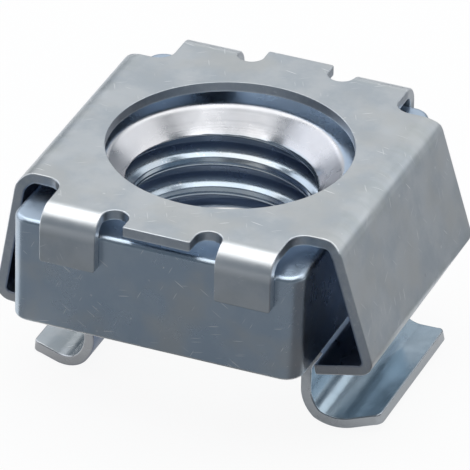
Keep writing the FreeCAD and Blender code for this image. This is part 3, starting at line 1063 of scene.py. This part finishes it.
    def build(self, finish: bpy.types.Material) -> bpy.types.Object:
        """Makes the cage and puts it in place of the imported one.

        Args:
            finish: its material.

        Returns:
            The object.
        """
        mesh = self.mesh()
        mesh.materials.append(finish)
        piece = bpy.data.objects.new("folded_cage", mesh)
        bpy.context.scene.collection.objects.link(piece)
        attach(piece, "root")
        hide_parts("cage")
        return piece


@dataclass
class ThreadedBlock:
    """The nut block: rounded edges, a countersunk hole and a right-hand thread cut along a helix."""

    half_width: float = 5.55
    half_depth: float = 6.6
    half_height: float = 2.1
    corner: float = 0.7
    top_round: float = 0.2
    foot_round: float = 0.1
    minor: float = 3.4
    major: float = 4.0
    pitch: float = 1.25
    crest_start: float = 0.8575
    top_sink: float = 0.85
    mouth_round: float = 0.4
    foot_sink: float = 0.45
    helix_top: float = 1.95
    burr: float = 0.02
    burr_share: float = 0.05
    crest_share: float = 0.25
    flank_share: float = 0.2771
    run_in: float = 0.4
    run_out: tuple[float, float] = (-1.32, -0.90)
    weld: float = 0.003
    support: float = 0.05
    columns: int = 256
    rows_a_turn: int = 52
    turns: int = 5

    def build(self, finish: bpy.types.Material) -> bpy.types.Object:
        """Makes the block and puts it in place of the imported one.

        Args:
            finish: its material.

        Returns:
            The object.
        """
        mesh = self._join(self._block_mesh(), self._thread_mesh(finish))
        mesh.materials.append(finish)
        piece = bpy.data.objects.new("threaded_block", mesh)
        bpy.context.scene.collection.objects.link(piece)
        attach(piece, "root")
        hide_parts("nut")
        return piece

    def _circle(self, radius: float, level: float) -> np.ndarray:
        """Draws a ring of points about the thread's axis, with its radius and height."""
        angle = np.arange(self.columns) * math.tau / self.columns
        return np.stack([radius * np.cos(angle), radius * np.sin(angle), np.full(self.columns, level)], 1)

    def _outline(self, inset: float, level: float) -> np.ndarray:
        """Draws a ring of points round the block.

        Args:
            inset: how far it lies inside the block's sides.
            level: its height.

        Returns:
            The points, starting in the middle of the right side.
        """
        width, depth = self.half_width - inset, self.half_depth - inset
        radius = self.corner - inset
        long, short, arc = 28, 24, 12
        steps = [(width, (depth - radius) * i / long) for i in range(long)]
        steps += [(width - radius * (1 - math.cos(a)), depth - radius * (1 - math.sin(a)))
                  for a in np.arange(arc) * math.pi / 2 / arc]
        steps += [((width - radius) * (1 - i / short), depth) for i in range(short)]
        left = np.array([(0.0, depth), *steps[:0:-1]]) * [-1, 1]
        upper = np.concatenate([steps, left])
        loop = np.concatenate([upper, -upper])
        return np.column_stack([loop, np.full(len(loop), level)])

    def _rings(self) -> list[np.ndarray]:
        """Lists the block's rings from the hole's upper end over the outside to its lower end.

        Returns:
            Rings of points, each with as many as there are columns.
        """
        top, support, fine, coarse = self.half_height, self.support, 9, 7
        inside_round, upper, lower = self.mouth_round, self.top_round, self.foot_round
        mouth = self.minor + self.top_sink
        rim = mouth + inside_round * math.tan(math.pi / 8)
        rings = [self._circle(mouth - (top - self.helix_top), self.helix_top)]
        rings += [self._circle(rim - inside_round * math.sin(a), top - inside_round * (1 - math.cos(a)))
                  for a in np.radians(np.linspace(45, 0, fine))]
        inner, outer = self._circle(rim + support, top), self._outline(upper + support, top)
        rings += [inner + (outer - inner) * share for share in np.linspace(0, 1, coarse)]
        rings += [self._outline(upper * (1 - math.sin(a)), top - upper * (1 - math.cos(a)))
                  for a in np.radians(np.linspace(0, 90, fine))]
        rings += [self._outline(0, level) for level in
                  np.linspace(top - upper - support, lower + support - top, fine)]
        rings += [self._outline(lower * (1 - math.cos(a)), lower * (1 - math.sin(a)) - top)
                  for a in np.radians(np.linspace(0, 90, coarse))]
        outer = self._outline(lower + support, -top)
        inner = self._circle(self.minor + self.foot_sink + support, -top)
        rings += [outer + (inner - outer) * share for share in np.linspace(0, 1, coarse)]
        rings.append(self._circle(self.minor + self.foot_sink, -top))
        return rings

    def _block_mesh(self) -> bpy.types.Mesh:
        """Builds the block without the threaded wall.

        Returns:
            The mesh.
        """
        rings, count = self._rings(), self.columns
        starts = range(0, len(rings) * count, count)
        faces = [(after + i, after + (i + 1) % count, start + (i + 1) % count, start + i)
                 for start, after in zip(starts, starts[1:]) for i in range(count)]
        mesh = bpy.data.meshes.new("block_outside")
        mesh.from_pydata((np.concatenate(rings) * MM).tolist(), [], faces)
        return mesh

    def _thread_tree(self) -> bpy.types.NodeTree:
        """Builds the Geometry Nodes that bend a grid into the helical wall.

        The grid's rows run along the helix, so each row keeps its place in the thread's profile.

        Returns:
            The tree.
        """
        tree = bpy.data.node_groups.new("helical_wall", "GeometryNodeTree")
        for kind, names in (
                ("Float", ("Pitch", "Crest Radius", "Root Radius", "Crest Height", "Lower End", "Upper End",
                           "Top Sink Height", "Foot Sink Height", "Burr")),
                ("Int", ("Columns", "Rows", "Turns")), ("Material", ("Finish",))):
            for name in names:
                tree.interface.new_socket(name=name, in_out="INPUT", socket_type="NodeSocket" + kind)
        tree.interface.new_socket(name="Wall", in_out="OUTPUT", socket_type="NodeSocketGeometry")
        graph = Graph(tree)
        given = graph.add("NodeGroupInput").outputs
        pitch, crest = given["Pitch"], given["Crest Radius"]
        height = graph.times(pitch, given["Turns"])
        grid = graph.add("GeometryNodeMeshGrid", {
            "Size X": 1.0, "Size Y": height, "Vertices X": graph.plus(given["Columns"], 1),
            "Vertices Y": graph.plus(given["Rows"], 1)})
        x, y, _ = graph.parts(graph.add("GeometryNodeInputPosition").outputs[0])
        turn = graph.plus(x, 0.5)
        up = graph.plus(y, graph.times(height, 0.5))
        turns_up = graph.plus(graph.over(up, pitch), 1e-5)
        start = graph.plus(graph.minus(given["Crest Height"], height), pitch)
        level = graph.plus(graph.plus(start, up), graph.times(turn, pitch))
        level = graph.least(graph.most(level, given["Lower End"]), given["Upper End"])
        share = graph.math("FRACT", turns_up)
        rising = graph.over(graph.minus(share, self.crest_share), self.flank_share)
        falling = graph.over(graph.minus(1.0, share), self.flank_share)
        depth = graph.least(rising, falling, clamp=True)
        depth = graph.times(depth, graph.ease(depth, 0.3, 1.0, 0.66, 1.0))
        wound = graph.minus(graph.plus(graph.math("FLOOR", turns_up), turn), given["Turns"])
        depth = graph.times(depth, graph.ease(wound, *self.run_out, 1.0, 0.0))
        run_in = graph.ease(graph.minus(level, given["Lower End"]), 0.0, self.run_in * MM)
        depth = graph.times(depth, run_in)
        radius = graph.times_plus(depth, graph.minus(given["Root Radius"], crest), crest)
        off = graph.size(graph.minus(share, self.burr_share))
        burr = graph.times(graph.ease(off, 0.0, self.burr_share, 1.0, 0.0), given["Burr"])
        radius = graph.minus(radius, graph.times(burr, run_in))
        for above in (graph.minus(level, given["Top Sink Height"]),
                      graph.minus(given["Foot Sink Height"], level)):
            radius = graph.most(radius, graph.plus(crest, above))
        angle = graph.times(turn, math.tau)
        bent = graph.add("ShaderNodeCombineXYZ", {
            0: graph.times(radius, graph.math("COSINE", angle)),
            1: graph.times(radius, graph.math("SINE", angle)), 2: level})
        moved = graph.add("GeometryNodeSetPosition", {
            "Geometry": grid.outputs["Mesh"], "Position": bent.outputs[0]})
        closed = graph.add("GeometryNodeMergeByDistance", {
            "Geometry": moved.outputs[0], "Distance": self.weld * MM})
        turned = graph.add("GeometryNodeFlipFaces", {"Mesh": closed.outputs[0]})
        real = graph.add("GeometryNodeRealizeInstances", {"Geometry": turned.outputs[0]})
        dressed = graph.add("GeometryNodeSetMaterial", {
            "Geometry": real.outputs[0], "Material": given["Finish"]})
        graph.add("NodeGroupOutput", {0: dressed.outputs[0]})
        return tree

    def _thread_mesh(self, finish: bpy.types.Material) -> bpy.types.Mesh:
        """Runs the tree and keeps its mesh.

        Args:
            finish: the wall's material.

        Returns:
            The threaded wall.
        """
        sizes = {
            "Pitch": self.pitch * MM, "Crest Radius": self.minor * MM, "Root Radius": self.major * MM,
            "Crest Height": self.crest_start * MM, "Lower End": -self.half_height * MM,
            "Upper End": self.helix_top * MM, "Top Sink Height": (self.half_height - self.top_sink) * MM,
            "Foot Sink Height": (self.foot_sink - self.half_height) * MM, "Burr": self.burr * MM,
            "Columns": self.columns, "Rows": self.rows_a_turn * self.turns, "Turns": self.turns,
            "Finish": finish}
        carrier = bpy.data.objects.new("thread_carrier", bpy.data.meshes.new("thread_carrier"))
        bpy.context.scene.collection.objects.link(carrier)
        modifier = carrier.modifiers.new("Helix", "NODES")
        modifier.node_group = self._thread_tree()
        for item in modifier.node_group.interface.items_tree:
            if item.in_out == "INPUT":
                modifier[item.identifier] = sizes[item.name]
        depsgraph = bpy.context.evaluated_depsgraph_get()
        mesh = bpy.data.meshes.new_from_object(carrier.evaluated_get(depsgraph))
        carrier.modifiers.clear()
        bpy.data.objects.remove(carrier)
        return mesh

    def _join(self, block: bpy.types.Mesh, thread: bpy.types.Mesh) -> bpy.types.Mesh:
        """Joins the outside and the threaded wall along their shared rings.

        Args:
            block: the outside.
            thread: the threaded wall.

        Returns:
            One closed mesh.
        """
        joined = bmesh.new()
        joined.from_mesh(block)
        joined.from_mesh(thread)
        bmesh.ops.remove_doubles(joined, verts=joined.verts, dist=self.weld * MM)
        loose = [edge for edge in joined.edges if not edge.link_faces]
        bmesh.ops.delete(joined, geom=loose, context="EDGES")
        for face in joined.faces:
            face.smooth = True
            face.material_index = 0
        open_edges = sum(1 for edge in joined.edges if len(edge.link_faces) != 2)
        log.info("block and thread: %d faces, %d open edges", len(joined.faces), open_edges)
        mesh = bpy.data.meshes.new("threaded_block")
        joined.to_mesh(mesh)
        joined.free()
        return mesh


@dataclass
class Studio:
    """The floor, the soft lamps, the cards that the metal mirrors and the camera."""

    floor_level: float
    azimuth: float = 21.66
    elevation: float = 30.985
    roll: float = 1.265
    distance: float = 252.3
    focal_pixels: float = 7183.6
    frame_pixels: float = 470.0
    target: tuple[float, float, float] = (2.749, -5.766, 2.9)
    room: Colour = (0.72, 0.86, 1.0)
    room_strength: float = 0.20
    slate: Colour = (0.255, 0.27, 0.29)

    def build(self) -> None:
        """Sets the floor, the light and the camera."""
        self._floor()
        self._cards()
        self._lamps()
        self._world()
        self._camera()

    def _plane(self, name: str, size: tuple[float, float], place: Matrix) -> bpy.types.Object:
        """Makes a flat sheet of the stage.

        Args:
            name: its name.
            size: its width and depth.
            place: where it lies, in metres.

        Returns:
            The object.
        """
        x, y = size[0] / 2 * MM, size[1] / 2 * MM
        mesh = bpy.data.meshes.new(name)
        mesh.from_pydata([(-x, -y, 0), (x, -y, 0), (x, y, 0), (-x, y, 0)], [], [(0, 1, 2, 3)])
        mesh.transform(place)
        piece = bpy.data.objects.new(name, mesh)
        bpy.context.scene.collection.objects.link(piece)
        piece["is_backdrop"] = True
        return piece

    def _floor(self) -> None:
        """Lays the pale floor under the lips."""
        floor = self._plane("floor", (4000.0, 4000.0), Matrix.Translation((0, 0, self.floor_level)))
        floor.data.materials.append(PaleFloor().material())

    def _card(self, name: str, bearing: float, near: float, size: tuple[float, float],
              paint: Colour, lift: float = 0.3, aside: float = 0.0) -> None:
        """Lays a card on the floor, out of the picture, for the metal to mirror.

        Args:
            name: its name.
            bearing: which way it lies from the object, 0 at the back and 90 at the right.
            near: how far its near edge is from the axis, in millimetres.
            size: its width and depth in millimetres.
            paint: its colour.
            lift: its height over the floor in millimetres.
            aside: how far it is moved to its right, seen from the object.
        """
        turn = Matrix.Rotation(math.radians(self.azimuth - bearing), 4, "Z")
        out = Matrix.Translation((aside * MM, (near + size[1] / 2) * MM, self.floor_level + lift * MM))
        card = self._plane(name, size, turn @ out)
        made = bpy.data.materials.new(name + "_paint")
        made.use_nodes = True
        shader = made.node_tree.nodes["Principled BSDF"]
        shader.inputs["Base Color"].default_value = (*paint, 1.0)
        shader.inputs["Roughness"].default_value = 0.9
        card.data.materials.append(made)
        # Painted reflection: the card shows only in mirrored rays, casts no shadow and lights nothing.
        card.visible_camera = False
        card.visible_shadow = False
        card.visible_diffuse = False

    def _lamp(self, name: str, bearing: float, rise: float, reach: float, size: tuple[float, float],
              radiance: float, colour: Colour) -> None:
        """Hangs a soft lamp that faces the object.

        Args:
            name: its name.
            bearing: which way it hangs, 0 at the back and 90 at the right, as the camera sees it.
            rise: its angle above the floor.
            reach: its distance in millimetres.
            size: its width and height in millimetres.
            radiance: how bright its face looks, where 1 is white.
            colour: its colour.
        """
        light = bpy.data.lights.new(name, "AREA")
        light.shape = "RECTANGLE"
        light.size, light.size_y = size[0] * MM, size[1] * MM
        light.energy = radiance * math.pi * light.size * light.size_y
        light.color = colour
        lamp = bpy.data.objects.new(name, light)
        across, up = math.radians(bearing - self.azimuth), math.radians(rise)
        way = Vector((math.cos(up) * math.sin(across), math.cos(up) * math.cos(across), math.sin(up)))
        turn = way.to_track_quat("Z", "Y").to_matrix().to_4x4()
        lamp.matrix_world = Matrix.Translation(way * reach * MM) @ turn
        bpy.context.scene.collection.objects.link(lamp)
        lamp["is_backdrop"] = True

    def _cards(self) -> None:
        """Lays slate blue cards in front and at the left, and grey ones at the right, as painted
        reflections that darken the faces that mirror them.
        """
        self._card("front_card", 180.0, 8.0, (160.0, 120.0), self.slate)
        self._card("under_card", 180.0, 4.9, (10.0, 3.1), self.slate, aside=4.5)
        self._card("left_card", 270.0, 10.0, (5.6, 40.0), self.slate, aside=-5.3)
        self._card("corner_card", 130.0, 9.5, (15.0, 30.0), (0.14, 0.135, 0.14), lift=0.4)
        self._card("side_card", 56.0, 11.0, (44.0, 70.0), (0.36, 0.37, 0.385))

    def _lamps(self) -> None:
        """Hangs the soft lamps."""
        warm, plain, cool = (1.0, 0.995, 0.98), (1.0, 1.0, 1.0), (0.93, 0.95, 1.0)
        self._lamp("overhead", 8.0, 86.0, 235.0, (340.0, 330.0), 1.5, warm)
        self._lamp("back", -5.0, 31.0, 330.0, (460.0, 170.0), 0.56, plain)
        self._lamp("right", 72.0, 31.0, 300.0, (260.0, 190.0), 1.0, plain)
        self._lamp("left", -66.0, 28.0, 300.0, (320.0, 220.0), 1.15, cool)

    def _world(self) -> None:
        """Surrounds the object with a plain, slightly cool room."""
        world = bpy.data.worlds.new("room")
        world.use_nodes = True
        shader = world.node_tree.nodes["Background"]
        shader.inputs["Color"].default_value = (*self.room, 1.0)
        shader.inputs["Strength"].default_value = self.room_strength
        bpy.context.scene.world = world

    def _camera(self) -> None:
        """Sets the camera at the photograph's angle."""
        az, el, roll = (math.radians(v) for v in (self.azimuth, self.elevation, self.roll))
        back = Vector((math.sin(az) * math.cos(el), -math.cos(az) * math.cos(el), math.sin(el)))
        right = Vector((math.cos(az), math.sin(az), 0.0))
        up = back.cross(right)
        turned = math.cos(roll) * right + math.sin(roll) * up
        upright = -math.sin(roll) * right + math.cos(roll) * up
        place = (Vector(self.target) + self.distance * back) * MM
        data = bpy.data.cameras.new("camera")
        data.sensor_width = 36.0
        data.lens = self.focal_pixels * data.sensor_width / self.frame_pixels
        data.clip_start, data.clip_end = 0.01, 10.0
        camera = bpy.data.objects.new("camera", data)
        turn = Matrix((turned, upright, back)).transposed().to_4x4()
        camera.matrix_world = Matrix.Translation(place) @ turn
        bpy.context.scene.collection.objects.link(camera)
        bpy.context.scene.camera = camera


def main() -> None:
    """Builds the pieces in order, then the studio."""
    logging.basicConfig(level=logging.INFO, format="%(name)s: %(message)s")
    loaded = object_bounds()
    bpy.context.scene.view_settings.view_transform = "Standard"
    strip = ZincPlate(
        "zinc_strip", bright=(0.65, 0.675, 0.695), cool=(0.55, 0.59, 0.625), roughness=0.34, grain=0.5,
        swell=12.0, scratches=1.2, follows_strip=True)
    block = ZincPlate(
        "zinc_block", bright=(0.53, 0.605, 0.68), cool=(0.48, 0.565, 0.655), roughness=0.30, grain=0.0,
        swell=9.0, scratches=0.8, follows_strip=False)
    pieces = [FoldedCage().build(strip.material()), ThreadedBlock().build(block.material())]
    for piece in pieces:
        log.info("%s: %d faces", piece.name, len(piece.data.polygons))
    lowest = min(corner[2] for corner in loaded)
    Studio(floor_level=lowest).build()


if __name__ == "__main__":
    main()
